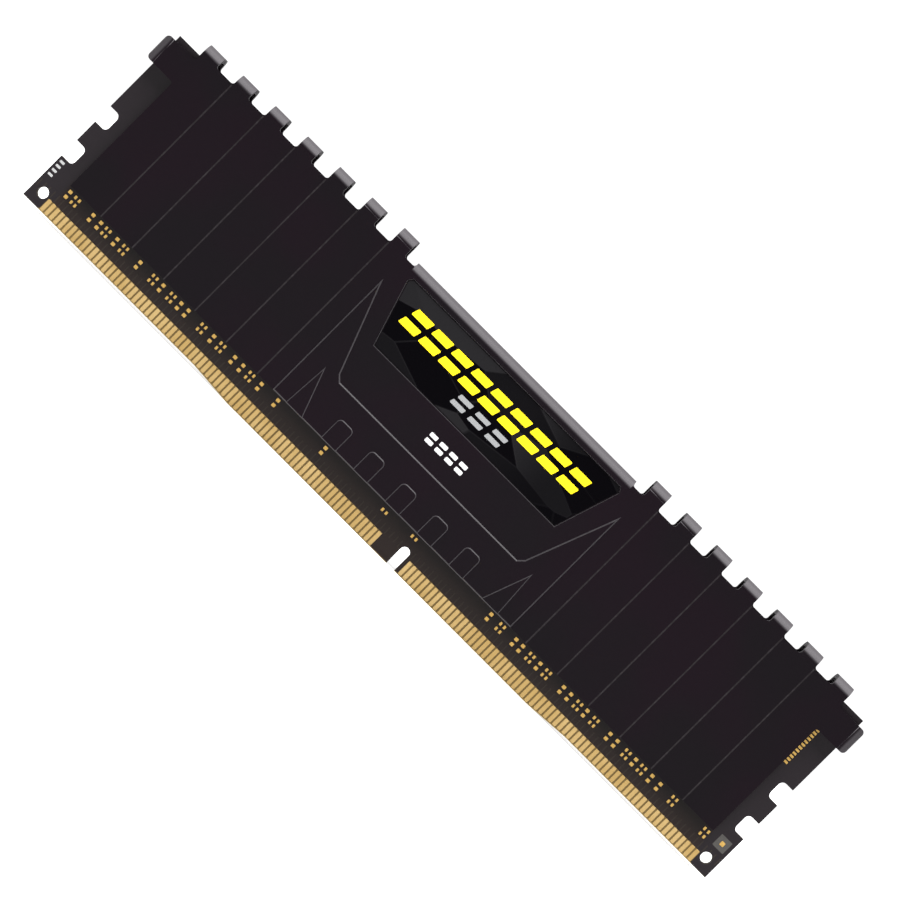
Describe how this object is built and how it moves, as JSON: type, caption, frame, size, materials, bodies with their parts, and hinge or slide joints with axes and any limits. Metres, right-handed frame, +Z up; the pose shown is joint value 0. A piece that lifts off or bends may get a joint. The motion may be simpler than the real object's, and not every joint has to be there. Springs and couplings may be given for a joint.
{
  "type": "ram module",
  "caption": "Desktop memory module: a keyed edge-connector board between two black stamped heat spreader halves with rolled comb teeth and end wings.",
  "frame": {"origin": "middle of the contact edge, halfway through the thickness of the board", "axes": "+X along the contact edge away from pin 1, +Y towards the rear of the board, +Z up out of the socket"},
  "size_m": [0.1358, 0.0072, 0.0345],
  "materials": {
    "solder_mask": "satin black solder mask over glass laminate",
    "gold": "gold plated copper",
    "solder": "satin tin solder",
    "chip_resin": "matt moulded epoxy",
    "capacitor_ceramic": "fired ceramic",
    "resistor_glaze": "glazed black ceramic",
    "thermal_gel": "soft grey filled silicone",
    "anodised_sheet": "satin black anodised, fine grain",
    "badge_gloss": "gloss black with yellow and silver printed bars",
    "label_film": "coated satin film"
  },
  "bodies": {
    "root": {"badge_front": "badge_gloss", "circuit_board": "solder_mask", "configuration_chip": "chip_resin", "contacts_front_left": "gold", "contacts_front_right": "gold", "contacts_rear_left": "gold", "contacts_rear_right": "gold", "data_resistors_left": "resistor_glaze", "data_resistors_right": "resistor_glaze", "decoupling_capacitors": "capacitor_ceramic", "heat_spreader_front": "anodised_sheet", "heat_spreader_rear": "anodised_sheet", "label_rear": "label_film", "memory_chip_1": "chip_resin", "memory_chip_2": "chip_resin", "memory_chip_3": "chip_resin", "memory_chip_4": "chip_resin", "memory_chip_5": "chip_resin", "memory_chip_6": "chip_resin", "memory_chip_7": "chip_resin", "memory_chip_8": "chip_resin", "solder_balls": "solder", "solder_lands_front": "gold", "termination_lands_front": "gold", "termination_resistors": "resistor_glaze", "thermal_pad_front": "thermal_gel", "thermal_pad_rear": "thermal_gel"}
  },
  "joints": []
}
